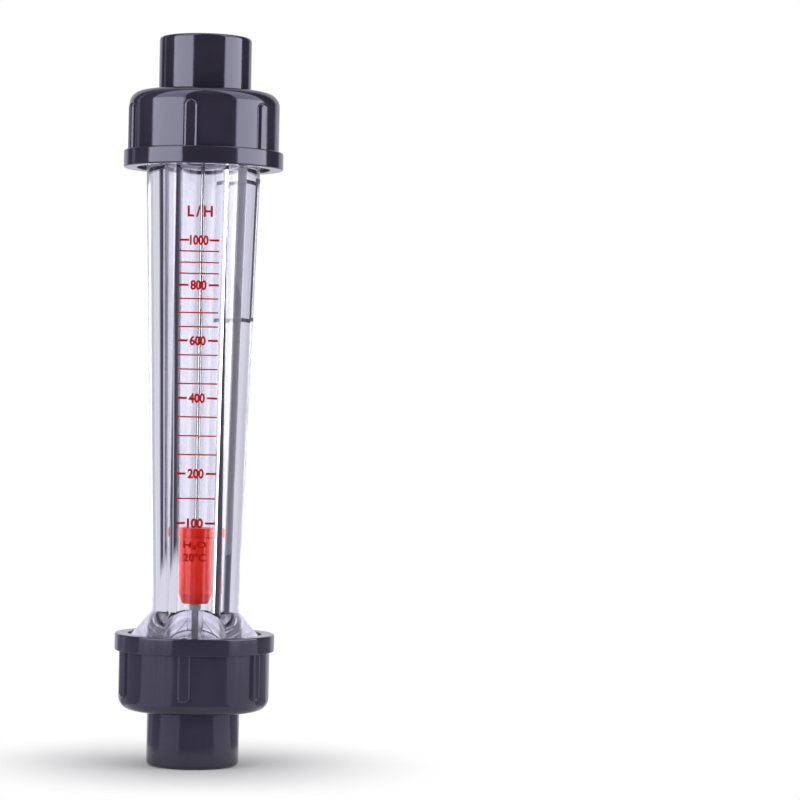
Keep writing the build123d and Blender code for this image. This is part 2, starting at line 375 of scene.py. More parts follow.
def steel():
    """Drawn stainless steel with lines along the axis."""
    maker = new_material("steel")
    lines = maker.grain(0.12, 2.0, (1, 1, 60))
    inputs = {
        "Base Color": maker.colour_mix(lines, (0.2, 0.2, 0.21, 1), (0.34, 0.34, 0.35, 1)),
        "Metallic": 1.0,
        "Roughness": lines.ramp(0.3, 0.7, 0.12, 0.22),
        "Normal": maker.bump(lines, 0.006),
    }
    maker.finish(maker.surface(inputs))


def red_print():
    """Red screen ink with slightly uneven cover, which casts no shade through the clear wall."""
    chosen = settings()
    maker = new_material("red_print")
    cover = maker.grain(0.3, 3.0)
    _, _, z = maker.place()
    # The ink is set darker below these heights, where the float stands behind the print
    darker_ink = toned(chosen.print_colour, 0.8)
    ink = maker.colour_mix(z.ramp(*DARK_INK_END), darker_ink, rgba(chosen.print_colour))
    thin = toned(chosen.print_colour, 1.15, 0.003)
    print_film = maker.surface(
        {
            "Base Color": maker.colour_mix(cover.ramp(0.4, 0.75, 0.0, 0.5), ink, thin),
            "Roughness": cover.ramp(0.3, 0.7, 0.4, 0.55),
            "Specular IOR Level": 0.12,
            "Normal": maker.bump(cover, 0.006),
        }
    )
    ray = maker.node("ShaderNodeLightPath")
    unseen = maker.math("MAXIMUM", ray["Is Shadow Ray"], ray["Diffuse Depth"] > 0.5)
    maker.finish(maker.blend(unseen, print_film, maker.see_through((1, 1, 1, 1))))


def label_film():
    """Clear film, printed with a bare frame: dark bars above and below, and thin side rules."""
    chosen = settings()
    maker = new_material("label_film")
    x, y, z = maker.place()
    angle = maker.math("ARCTAN2", x, 0.0 - y) * math.degrees(1)
    bar = chosen.label_bar
    rule = chosen.label_rule
    low, high = chosen.label_foot, chosen.label_head
    start, end = chosen.label_start, chosen.label_end
    inside = (z > low) * (z < high) * (angle > start) * (angle < end)
    bars = (z < low + bar) + (z > high - bar)
    rules = (angle < start + FRONT_RULE * rule) + (angle > end - rule)
    specks = maker.grain(0.5, 2.0)
    dark = ((bars + rules) > 0.5) * inside
    ink = maker.surface(
        {
            "Base Color": maker.colour_mix(specks, (0.02, 0.02, 0.025, 1), (0.06, 0.06, 0.07, 1)),
            "Roughness": specks.ramp(0.3, 0.7, 0.35, 0.5),
        }
    )
    clear = maker.see_through((0.96, 0.96, 0.98, 1))
    maker.finish(maker.blend(dark * 0.92, clear, ink))


# Modelling helpers. Every piece ends with its object at the origin and its place in its mesh.


def only(piece):
    """Make one object the selected and the active one."""
    bpy.ops.object.select_all(action="DESELECT")
    piece.select_set(True)
    bpy.context.view_layer.objects.active = piece


def settle(piece):
    """Move the object's place, turn and size into its mesh."""
    only(piece)
    bpy.ops.object.transform_apply(location=True, rotation=True, scale=True)


def added(name):
    """Name the object that was just added, and settle it."""
    piece = bpy.context.object
    piece.name = piece.data.name = name
    settle(piece)
    return piece


def edit(piece):
    """Open a piece in edit mode, with nothing selected."""
    only(piece)
    bpy.ops.object.mode_set(mode="EDIT")
    bpy.ops.mesh.select_mode(type="VERT")
    bpy.ops.mesh.select_all(action="DESELECT")


def done():
    """Leave edit mode."""
    bpy.ops.object.mode_set(mode="OBJECT")


def pick(piece, test):
    """In edit mode, select the vertices whose place in millimetres passes a test."""
    mesh = bmesh.from_edit_mesh(piece.data)
    for vertex in mesh.verts:
        vertex.select = bool(test(vertex.co / MM))
    mesh.select_flush_mode()
    bmesh.update_edit_mesh(piece.data)


def pick_edges(piece, test):
    """In edit mode, select the edges whose two ends, in millimetres, pass a test."""
    bpy.ops.mesh.select_mode(type="EDGE")
    mesh = bmesh.from_edit_mesh(piece.data)
    for edge in mesh.edges:
        edge.select = bool(test(edge.verts[0].co / MM, edge.verts[1].co / MM))
    mesh.select_flush_mode()
    bmesh.update_edit_mesh(piece.data)


def ring_at(radius, z, reach=0.02):
    """Return a test for the vertices of one turned edge."""
    return lambda p: abs(math.hypot(p.x, p.y) - radius) < reach and abs(p.z - z) < reach


def face_outwards():
    """In edit mode, turn every face outwards."""
    bpy.ops.mesh.select_all(action="SELECT")
    bpy.ops.mesh.normals_make_consistent(inside=False)


def pull(corner, next_corner):
    """In edit mode, extrude the selected ring from one (radius, z) corner to the next."""
    (radius, z), (next_radius, next_z) = corner, next_corner
    bpy.ops.mesh.extrude_region_move(TRANSFORM_OT_translate={"value": (0, 0, (next_z - z) * MM)})
    scale = next_radius / radius
    bpy.ops.transform.resize(value=(scale, scale, 1), center_override=(0, 0, next_z * MM))


def ring(name, radius, z, segments, spin=0.0):
    """Add a circle of a radius and a height in millimetres, and open it in edit mode."""
    bpy.ops.object.select_all(action="DESELECT")
    bpy.ops.mesh.primitive_circle_add(
        vertices=segments, radius=radius * MM, location=(0, 0, z * MM), rotation=(0, 0, spin)
    )
    piece = added(name)
    edit(piece)
    return piece


def pulled(name, profile, segments, turn=0.0):
    """Pull a circle through the (radius, z) corners of a profile, in millimetres, and stay in edit mode.

    Turn is how many facets the circle is set round.
    """
    piece = ring(name, *profile[0], segments, turn * 2 * math.pi / segments)
    bpy.ops.mesh.select_all(action="SELECT")
    for corner, next_corner in zip(profile, profile[1:]):
        pull(corner, next_corner)
    return piece


def turned(name, profile, edges=(), segments=160):
    """Turn a hollow piece from a profile that closes back to its first corner.

    Edges are (radius, z, rounding, steps) of the corners that are rounded or broken.
    """
    piece = pulled(name, profile, segments)
    bpy.ops.mesh.select_all(action="DESELECT")
    bpy.ops.mesh.select_non_manifold()
    bpy.ops.mesh.bridge_edge_loops()
    face_outwards()
    for edge_radius, edge_z, rounding, steps in edges:
        pick(piece, ring_at(edge_radius, edge_z))
        bpy.ops.mesh.bevel(offset=rounding * MM, segments=steps, affect="EDGES")
    done()
    return piece


def turned_solid(name, profile, segments=160, turn=0.0):
    """Turn a solid bar from a profile that runs from its lower to its upper end.

    Turn is how many facets it is set round, so that its edges cross another turned piece's faces cleanly.
    """
    piece = pulled(name, profile, segments, turn)
    bpy.ops.mesh.select_all(action="SELECT")
    bpy.ops.mesh.fill_holes(sides=0)
    face_outwards()
    done()
    return piece


def block(name, low, high):
    """Add a box between two corners in millimetres."""
    bpy.ops.object.select_all(action="DESELECT")
    low, high = Vector(low) * MM, Vector(high) * MM
    bpy.ops.mesh.primitive_cube_add(size=1, location=(low + high) / 2, scale=high - low)
    return added(name)


def modify(piece, kind, **values):
    """Add a modifier with its values to a piece, and apply it."""
    only(piece)
    bpy.ops.object.modifier_add(type=kind)
    modifier = piece.modifiers[-1]
    for name, value in values.items():
        setattr(modifier, name, value)
    bpy.ops.object.modifier_apply(modifier=modifier.name)


def combine(piece, tool, operation):
    """Cut a tool from a piece or fuse it on, and remove the tool."""
    modify(piece, "BOOLEAN", operation=operation, solver="EXACT", object=tool)
    bpy.data.objects.remove(tool)


def copied(piece, name, matrix):
    """Return a copy of a piece with its own mesh, moved by a matrix."""
    copy = piece.copy()
    copy.data = piece.data.copy()
    copy.name = copy.data.name = name
    bpy.context.collection.objects.link(copy)
    copy.data.transform(matrix)
    return copy


def about_axis(degrees):
    """Return a turn about the flow meter's axis."""
    return Matrix.Rotation(math.radians(degrees), 4, "Z")


def end_for_end(degrees=0.0):
    """Return the turn that sets a lower piece on the upper end."""
    lift = Matrix.Translation((0, 0, TOTAL_LENGTH * MM))
    return about_axis(degrees) @ lift @ Matrix.Rotation(math.pi, 4, "X")


def smooth(piece, angle=32):
    """Shade a piece smooth, with its hard edges kept and its large faces true."""
    only(piece)
    bpy.ops.object.shade_smooth_by_angle(angle=math.radians(angle))
    modify(piece, "WEIGHTED_NORMAL", keep_sharp=True)


def welded_copy(node, name):
    """Return a copy of a frame solid with its loose triangles joined."""
    piece = copied(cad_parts[node], name, Matrix.Identity(4))
    piece.data.materials.clear()
    edit(piece)
    bpy.ops.mesh.select_all(action="SELECT")
    bpy.ops.mesh.remove_doubles(threshold=0.002 * MM)
    done()
    return piece


# Settings


class FlowMeterSettings(bpy.types.PropertyGroup):
    """Looks and measures that can be changed before the pieces are made"""

    clear_colour: bpy.props.FloatVectorProperty(
        name="Clear plastic",
        description="Tint of the measuring tube",
        subtype="COLOR",
        default=(0.91, 0.905, 0.94),
    )
    clear_index: bpy.props.FloatProperty(
        name="Clear plastic index",
        description="How strongly the tube bends light",
        default=1.57,
        min=1.3,
        max=1.8,
    )
    flow_line_depth: bpy.props.FloatProperty(
        name="Flow line depth",
        description="Depth of the moulding lines in the tube, in mm",
        default=0.02,
        min=0,
    )
    grey_colour: bpy.props.FloatVectorProperty(
        name="Grey plastic",
        description="Colour of nuts and tail pieces",
        subtype="COLOR",
        default=(0.023, 0.02, 0.034),
    )
    grey_roughness: bpy.props.FloatProperty(
        name="Grey plastic roughness",
        description="Gloss of nuts and tail pieces",
        subtype="FACTOR",
        default=0.06,
        min=0,
        max=1,
    )
    red_colour: bpy.props.FloatVectorProperty(
        name="Float", description="Colour of the float", subtype="COLOR", default=(0.56, 0.014, 0.002)
    )
    print_colour: bpy.props.FloatVectorProperty(
        name="Scale print",
        description="Colour of the scale",
        subtype="COLOR",
        default=(0.36, 0.002, 0.003),
    )
    label_foot: bpy.props.FloatProperty(
        name="Label foot", description="Height of the label's lower edge, in mm", default=125.2
    )
    label_head: bpy.props.FloatProperty(
        name="Label head", description="Height of the label's upper edge, in mm", default=165.4
    )
    label_start: bpy.props.FloatProperty(
        name="Label start",
        description="Angle of the label's front edge from the scale, in degrees",
        default=68.0,
    )
    label_end: bpy.props.FloatProperty(
        name="Label end",
        description="Angle of the label's back edge from the scale, in degrees",
        default=138.0,
    )
    label_bar: bpy.props.FloatProperty(
        name="Label bar", description="Height of the label's dark bars, in mm", default=1.1, min=0
    )
    label_rule: bpy.props.FloatProperty(
        name="Label rule", description="Width of the label's side rule, in degrees", default=1.2, min=0
    )
    thread_haze: bpy.props.FloatProperty(
        name="Thread haze",
        description="How milky the tube's two threads look",
        subtype="FACTOR",
        default=0.78,
        min=0,
        max=1,
    )
    # Strength of the painted glow on the satin threads, which stands in for light led down the clear wall
    # into them
    thread_glow: bpy.props.FloatProperty(
        name="Thread glow",
        description="Light that the clear wall leads down into its threads",
        default=0.42,
        min=0,
    )
    thread_pitch: bpy.props.FloatProperty(
        name="Thread pitch", description="Pitch of the tube's end threads, in mm", default=3.0, min=1
    )


def settings():
    """Return the chosen settings."""
    return bpy.context.scene.flow_meter


FINISHES = {
    "clear_plastic": clear_plastic,
    "grey_plastic": grey_plastic,
    "red_plastic": red_plastic,
    "pale_plastic": pale_plastic,
    "bumper_plastic": lambda: pale_plastic("bumper_plastic", (0.4, 0.38, 0.4), 0.35),
    "seal_rubber": seal_rubber,
    "steel": steel,
    "red_print": red_print,
    "label_film": label_film,
}


def finish_piece(piece, finish, slot, body, *nodes):
    """Dress a piece, let it ride on its body, and let it stand for its frame solids."""
    if finish + "_finish" not in bpy.data.materials:
        FINISHES[finish]()
    piece.data.materials.clear()
    piece.data.materials.append(bpy.data.materials[finish + "_finish"])
    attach(piece, body)
    if nodes:
        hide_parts(*nodes)


def set_on_both_ends(piece, name, kind, lower_turn=0.0, upper_turn=0.0):
    """Set a union's piece, a nut or a tail, on the lower end and its twin on the upper end."""
    for end, matrix in (("lower", about_axis(lower_turn)), ("upper", end_for_end(upper_turn))):
        node = f"{end}_{kind}"
        finish_piece(copied(piece, f"{name}_{end}", matrix), "grey_plastic", "grey_plastic", node, node)
    bpy.data.objects.remove(piece)


# Measuring tube

TUBE_SEGMENTS = 192
# The flares' cones run on inside the stem by this much
FLARE_OVERLAP = 2.0
# Chamfer of the tube's ends, and breadth of the band between thread and flare, outside and at the core
END_CHAMFER = 0.6
BAND_WIDTH, BAND_ROOT = 0.8, 1.2
# Each thread ridge: its name, the height where it starts, and its turns
RIDGES = (("lower_thread", TUBE_FOOT + 1.6, 3), ("upper_thread", UPPER_THREAD_FOOT + 1.9, 2))
RIDGE_STEPS = 72
# A ridge's depth inside the core, and its half breadth at its foot and at its crest
RIDGE_SINK = 0.3
RIDGE_FOOT, RIDGE_CREST = 1.1, 0.3
# The bore: the two guides' seats, the room under the stem, and the taper's ends
SEAT_RADIUS, SEAT_DEPTH = 11.4, 3.2
WIDE_BORE, WIDE_BORE_HEAD = 9.8, TUBE_FOOT + 13.8
TAPER_FOOT_RADIUS, TAPER_HEAD_RADIUS = 8.25, 10.5
TAPER_FOOT = TUBE_FOOT + 18.4
PAD_ROUNDING = 0.15


def leaned(piece, foot, head):
    """Lean a block's front, drawn square, to follow the flat of the tapered stem."""
    edit(piece)
    front = -flat_distance(foot)
    pick(piece, lambda p: abs(p.y - front) < 0.01 and p.z > (foot + head) / 2)
    bpy.ops.transform.translate(value=(0, (flat_distance(foot) - flat_distance(head)) * MM, 0))
    done()


def flared_end(name, end, thread, neck, neck_radius):
    """Turn an end of the tube, from its face to the cone of its flare.

    End, thread and neck are the heights of the face, of the thread's inner limit and of the flare's neck.
    """
    out = 1 if end > thread else -1
    slope = (THREAD_RADIUS - neck_radius) / (thread - neck)
    profile = [
        (neck_radius - FLARE_OVERLAP, neck - FLARE_OVERLAP / slope),
        (THREAD_RADIUS, thread),
        (THREAD_RADIUS, thread + out * BAND_WIDTH),
        (THREAD_CORE, thread + out * BAND_ROOT),
        (THREAD_CORE, end - out * END_CHAMFER),
        (THREAD_CORE - END_CHAMFER, end),
    ]
    return turned_solid(name, profile[::out], TUBE_SEGMENTS, 0.5)


def thread_ridge(name, foot, turns, pitch):
    """Screw one thread ridge round the end of the tube."""
    bpy.ops.object.select_all(action="DESELECT")
    bpy.ops.mesh.primitive_circle_add(vertices=4, radius=MM, fill_type="NGON", rotation=(math.pi / 2, 0, 0))
    ridge = added(name)
    root = THREAD_CORE - RIDGE_SINK
    corners = (
        (root, -RIDGE_FOOT),
        (THREAD_RADIUS, -RIDGE_CREST),
        (THREAD_RADIUS, RIDGE_CREST),
        (root, RIDGE_FOOT),
    )
    for vertex, (radius, rise) in zip(ridge.data.vertices, corners):
        vertex.co = (radius * MM, 0, (foot + rise) * MM)
    modify(
        ridge,
        "SCREW",
        axis="Z",
        screw_offset=pitch * MM,
        iterations=turns,
        steps=RIDGE_STEPS,
        render_steps=RIDGE_STEPS,
    )
    edit(ridge)
    bpy.ops.mesh.select_all(action="SELECT")
    bpy.ops.mesh.remove_doubles(threshold=0.001 * MM)
    bpy.ops.mesh.select_all(action="DESELECT")
    bpy.ops.mesh.select_non_manifold()
    bpy.ops.mesh.fill_holes(sides=0)
    face_outwards()
    done()
    return ridge


class FLOWMETER_OT_measuring_tube(bpy.types.Operator):
    """Model the clear tube: tapered stem, raised front flat, flares, end threads and tapered bore"""

    bl_idname = "flow_meter.measuring_tube"
    bl_label = "Measuring Tube"

    def execute(self, context):
        foot, head = LOWER_THREAD_TOP, UPPER_THREAD_FOOT
        stem = [(stem_radius(foot), foot), (stem_radius(head), head)]
        tube = turned_solid("measuring_tube_clear", stem, TUBE_SEGMENTS)
        front = -flat_distance(foot)
        shave = block("front_shave", (-40, -60, foot), (40, front, head))
        leaned(shave, foot, head)
        combine(tube, shave, "DIFFERENCE")

        pad = block("front_pad", (-FLAT_HALF_WIDTH, front, foot), (FLAT_HALF_WIDTH, -2, head))
        leaned(pad, foot, head)
        edit(pad)
        pick_edges(pad, lambda a, b: max(a.y, b.y) < front + 1 and abs(a.z - b.z) > 50)
        bpy.ops.mesh.bevel(offset=PAD_ROUNDING * MM, segments=2, affect="EDGES")
        done()
        combine(tube, pad, "UNION")

        lower = flared_end("lower_end", TUBE_FOOT, LOWER_THREAD_TOP, LOWER_NECK, LOWER_NECK_RADIUS)
        combine(tube, lower, "UNION")
        upper = flared_end("upper_end", TUBE_HEAD, UPPER_THREAD_FOOT, UPPER_NECK, UPPER_NECK_RADIUS)
        combine(tube, upper, "UNION")
        for name, start, turns in RIDGES:
            combine(tube, thread_ridge(name, start, turns, settings().thread_pitch), "UNION")
        bore = [
            (SEAT_RADIUS, TUBE_FOOT - 1),
            (SEAT_RADIUS, TUBE_FOOT + SEAT_DEPTH),
            (WIDE_BORE, TUBE_FOOT + SEAT_DEPTH),
            (WIDE_BORE, WIDE_BORE_HEAD),
            (TAPER_FOOT_RADIUS, TAPER_FOOT),
            (TAPER_HEAD_RADIUS, TUBE_HEAD - SEAT_DEPTH),
            (SEAT_RADIUS, TUBE_HEAD - SEAT_DEPTH),
            (SEAT_RADIUS, TUBE_HEAD + 1),
        ]
        combine(tube, turned_solid("bore", bore, TUBE_SEGMENTS), "DIFFERENCE")
        smooth(tube, 25)
        finish_piece(tube, "clear_plastic", "clear_plastic", "tube", "measuring_tube")
        return {"FINISHED"}


# Scale print

PRINT_HEIGHT = 0.03
# How far the print is sunk into the flat, so that no gap shows under it
PRINT_SINK = 0.01
MARK_FOOT, MARK_HEAD = 68.5, 147.2
# Rows of the drawn scale, in pixels: the pipe end's, the middle one, and the drawing's stretch about that
PIPE_END_ROW, MIDDLE_ROW, STRETCH = 764.1, 400, 1.0142
NUMBERS = {1000: 240.8, 800: 285.5, 600: 340.9, 400: 398.3, 200: 473.8, 100: 523.4}
MINOR_MARKS = (251.8, 263, 274, 299.1, 313, 327.1, 355.3, 369.5, 383.9, 417.1, 436, 454.8, 498.7)
# Ends of the bars from the print's centre, and their widths
NUMBER_BARS = ((-5.58, -2.83), (2.78, 5.58))
MINOR_BAR = (-5.58, 5.52)
NUMBER_BAR_WIDTH, MINOR_BAR_WIDTH = 0.6, 0.38
NUMBER_HEIGHT, NUMBER_WIDTH, FOUR_DIGIT_WIDTH = 2.75, 4.5, 5.2


def mark_height(row):
    """Return the height on the tube of a mark, from its row on the drawn scale."""
    return (PIPE_END_ROW - (MIDDLE_ROW + (row - MIDDLE_ROW) / STRETCH)) * PIXEL


def print_centre(z):
    """Return how far the print stands to the side of the flat's middle."""
    return -0.27 - 0.26 * (z - MARK_FOOT) / (MARK_HEAD - MARK_FOOT)


def bar(start, end, z, height):
    """Print one bar on the flat."""
    face = -flat_distance(z)
    half = height / 2
    return block("mark", (start, face - PRINT_HEIGHT, z - half), (end, face + PRINT_SINK, z + half))


def figure(words, z, height, width, centre, weight=0.042, spacing=1.0):
    """Print figures on the flat, fitted to a height and a width."""
    bpy.ops.object.select_all(action="DESELECT")
    bpy.ops.object.text_add()
    text = bpy.context.object
    text.data.body = words
    text.data.align_x = "CENTER"
    text.data.size = 1.0
    text.data.offset = weight
    text.data.space_character = spacing
    text.data.extrude = 0.01
    text.data.resolution_u = 6
    bpy.ops.object.convert(target="MESH")
    text = bpy.context.object
    low = Vector((min(v.co[i] for v in text.data.vertices) for i in range(3)))
    high = Vector((max(v.co[i] for v in text.data.vertices) for i in range(3)))
    middle, size = (low + high) / 2, high - low
    fit = Matrix.Diagonal((width * MM / size.x, height * MM / size.y, PRINT_HEIGHT * MM / size.z, 1))
    lean = Matrix.Rotation(math.pi / 2 + math.atan(STEM_TAPER), 4, "X")
    middle_depth = -flat_distance(z) - PRINT_HEIGHT / 2 + PRINT_SINK
    place = Matrix.Translation(Vector((centre, middle_depth, z)) * MM)
    text.data.transform(place @ lean @ fit @ Matrix.Translation(-middle))
    return text


def joined(name, parts):
    """Join objects into one piece."""
    bpy.ops.object.select_all(action="DESELECT")
    for part in parts:
        part.select_set(True)
    bpy.context.view_layer.objects.active = parts[0]
    bpy.ops.object.join()
    parts[0].name = parts[0].data.name = name
    return parts[0]


class FLOWMETER_OT_scale_print(bpy.types.Operator):
    """Print the flow scale on the front flat"""

    bl_idname = "flow_meter.scale_print"
    bl_label = "Scale Print"

    def execute(self, context):
        marks = []
        for number, row in NUMBERS.items():
            z = mark_height(row)
            centre = print_centre(z)
            for start, end in NUMBER_BARS:
                marks.append(bar(centre + start, centre + end, z, NUMBER_BAR_WIDTH))
            width = FOUR_DIGIT_WIDTH if number == 1000 else NUMBER_WIDTH
            marks.append(figure(str(number), z, NUMBER_HEIGHT, width, centre - 0.05))
        for row in MINOR_MARKS:
            z = mark_height(row)
            centre = print_centre(z)
            marks.append(bar(centre + MINOR_BAR[0], centre + MINOR_BAR[1], z, MINOR_BAR_WIDTH))
        marks.append(figure("L/H", mark_height(212), 3.15, 7.0, print_centre(150) + 0.1, 0.03, 1.35))
        marks.append(figure("H₂O", mark_height(545.6), 2.35, 6.4, print_centre(60), 0.03))
        marks.append(figure("20°C", mark_height(557.6), 2.35, 6.4, print_centre(60), 0.03))
        finish_piece(joined("scale_print", marks), "red_print", "red_plastic", "tube")
        return {"FINISHED"}


# Label

FILM_GAP, FILM_THICKNESS = 0.06, 0.04
# How far the bare film runs on past its printed frame, in degrees
FILM_MARGIN = 0.5


class FLOWMETER_OT_label(bpy.types.Operator):
    """Lay the bare film label round the right side of the stem"""

    bl_idname = "flow_meter.label"
    bl_label = "Label Film"

    def execute(self, context):
        chosen = settings()
        foot, head = chosen.label_foot, chosen.label_head
        start, end = chosen.label_start - FILM_MARGIN, chosen.label_end + FILM_MARGIN
        low = (stem_radius(foot) + FILM_GAP, foot)
        high = (stem_radius(head) + FILM_GAP, head)
        film = ring("label_film", *low, 360)
        pick(film, lambda p: not start < math.degrees(math.atan2(p.x, -p.y)) < end)
        bpy.ops.mesh.delete(type="VERT")
        bpy.ops.mesh.select_all(action="SELECT")
        pull(low, high)
        face_outwards()
        done()
        modify(film, "SOLIDIFY", thickness=FILM_THICKNESS * MM, offset=1)
        bpy.ops.object.shade_smooth_by_angle(angle=math.radians(30))
        finish_piece(film, "label_film", "clear_plastic", "tube")
        return {"FINISHED"}


# Union nuts

# The lower union's levels and radii, which the upper union repeats end for end
NUT_FOOT, FLANGE_FOOT, NUT_HEAD = 15.5, 32.15, 37.0
NUT_HOLE, NUT_RADIUS, FLANGE_RADIUS = 13.35, 21.2, 22.5
COLLAR_FOOT, COLLAR_HEAD = 19.95, 23.6
COLLAR_ROOM, COLLAR_ROOM_HEAD = 17.0, 23.8
THREAD_BORE, THREAD_BORE_HEAD = 18.5, 35.8
MOUTH_RADIUS = 18.75
# The grip ribs
RIB_COUNT = 6
RIB_HALF_WIDTH = 2.15
RIB_ROOT, RIB_FACE = 20.3, 22.1
RIB_FOOT, RIB_HEAD = 19.2, 35.0
RIB_DRAFT = 0.82
# The blind hole for a seal wire in the flange
WIRE_HOLE_RADIUS, WIRE_HOLE_FOOT, WIRE_HOLE_PLACE = 1.0, 34.5, 20.62
# How far the nuts are turned on their threads, in degrees
LOWER_NUT_TURN, UPPER_NUT_TURN = -6.7, 180 - 9.7


def nut_rib():
    """Model one grip rib, rounded at its lower end and drafted towards its face."""
    rib = block("rib", (-RIB_HALF_WIDTH, -RIB_FACE, RIB_FOOT), (RIB_HALF_WIDTH, -RIB_ROOT, RIB_HEAD))
    edit(rib)
    pick(rib, lambda p: p.y < 0.1 - RIB_FACE)
    bpy.ops.transform.resize(value=(RIB_DRAFT, 1, 1), center_override=(0, -RIB_FACE * MM, RIB_FOOT * MM))
    pick_edges(rib, lambda a, b: max(a.z, b.z) < RIB_FOOT + 0.1 and abs(a.y - b.y) > 1)
    bpy.ops.mesh.bevel(offset=1.7 * MM, segments=7, affect="EDGES")
    bpy.ops.mesh.select_mode(type="VERT")
    pick(rib, lambda p: p.y < 0.05 - RIB_FACE)
    bpy.ops.mesh.bevel(offset=0.9 * MM, segments=5, affect="EDGES")
    done()
    return rib


class FLOWMETER_OT_union_nuts(bpy.types.Operator):
    """Model the two union nuts with their ribs, flanges and seal wire holes"""

    bl_idname = "flow_meter.union_nuts"
    bl_label = "Union Nuts"

    def execute(self, context):
        profile = [
            (NUT_HOLE, NUT_FOOT),
            (NUT_RADIUS, NUT_FOOT),
            (NUT_RADIUS, FLANGE_FOOT),
            (FLANGE_RADIUS, FLANGE_FOOT),
            (FLANGE_RADIUS, NUT_HEAD),
            (MOUTH_RADIUS, NUT_HEAD),
            (MOUTH_RADIUS, THREAD_BORE_HEAD),
            (THREAD_BORE, THREAD_BORE_HEAD),
            (THREAD_BORE, COLLAR_ROOM_HEAD),
            (COLLAR_ROOM, COLLAR_ROOM_HEAD),
            (COLLAR_ROOM, COLLAR_FOOT),
            (NUT_HOLE, COLLAR_FOOT),
        ]
        edges = [
            (NUT_RADIUS, NUT_FOOT, 3.6, 12),
            (FLANGE_RADIUS, FLANGE_FOOT, 0.4, 3),
            (FLANGE_RADIUS, NUT_HEAD, 0.45, 4),
            (MOUTH_RADIUS, NUT_HEAD, 0.3, 2),
            (NUT_HOLE, NUT_FOOT, 0.25, 2),
            (NUT_RADIUS, FLANGE_FOOT, 0.2, 2),
        ]
        nut = turned("nut_body", profile, edges, 192)
        first = nut_rib()
        ribs = [copied(first, "rib", about_axis(360 / RIB_COUNT * turn)) for turn in range(RIB_COUNT)]
        bpy.data.objects.remove(first)
        combine(nut, joined("ribs", ribs), "UNION")
        drill = [(WIRE_HOLE_RADIUS, WIRE_HOLE_FOOT), (WIRE_HOLE_RADIUS, NUT_HEAD + 1)]
        hole = turned_solid("wire_hole", drill, 24)
        hole.data.transform(Matrix.Translation((0, -WIRE_HOLE_PLACE * MM, 0)))
        combine(nut, hole, "DIFFERENCE")
        smooth(nut)
        set_on_both_ends(nut, "union_nut", "nut", LOWER_NUT_TURN, UPPER_NUT_TURN)
        return {"FINISHED"}


# Tail pieces

SOCKET_RADIUS, SOCKET_DEPTH = 10.15, 16.2
PASSAGE_RADIUS, STUB_RADIUS, COLLAR_RADIUS = 7.5, 13.0, 16.6
GROOVE_FOOT, GROOVE_INNER, GROOVE_OUTER = 21.9, 11.7, 14.6


class FLOWMETER_OT_tail_pieces(bpy.types.Operator):
    """Model the two pipe sockets with their collars and seal grooves"""

    bl_idname = "flow_meter.tail_pieces"
    bl_label = "Tail Pieces"

    def execute(self, context):
        profile = [
            (SOCKET_RADIUS, 0.0),
            (STUB_RADIUS, 0.0),
            (STUB_RADIUS, COLLAR_FOOT),
            (COLLAR_RADIUS, COLLAR_FOOT),
            (COLLAR_RADIUS, COLLAR_HEAD),
            (GROOVE_OUTER, COLLAR_HEAD),
            (GROOVE_OUTER, GROOVE_FOOT),
            (GROOVE_INNER, GROOVE_FOOT),
            (GROOVE_INNER, COLLAR_HEAD),
            (PASSAGE_RADIUS, COLLAR_HEAD),
            (PASSAGE_RADIUS, SOCKET_DEPTH),
            (SOCKET_RADIUS, SOCKET_DEPTH),
        ]
        edges = [
            (STUB_RADIUS, 0.0, 0.9, 4),
            (SOCKET_RADIUS, 0.0, 0.7, 3),
            (COLLAR_RADIUS, COLLAR_HEAD, 0.4, 2),
            (PASSAGE_RADIUS, SOCKET_DEPTH, 0.3, 2),
        ]
        tail = turned("tail_piece", profile, edges)
        smooth(tail)
        set_on_both_ends(tail, "tail_piece", "tail")
        return {"FINISHED"}


# Float

FLOAT_HOLE, SLEEVE_RADIUS, POCKET_RADIUS, FLOAT_RADIUS, RIM_RADIUS = 1.1, 2.2, 6.2, 7.4, 8.0
CAP_FOOT_RADIUS = 5.8
CAP_FOOT, CAP_HEAD, SPIGOT_HEAD, POCKET_HEAD = 45.65, 48.6, 49.8, 62.4
RIM_SLOPE_FOOT, RIM_FOOT, FLOAT_HEAD = 64.1, 64.6, 67.0
FLOAT_SEGMENTS = 96


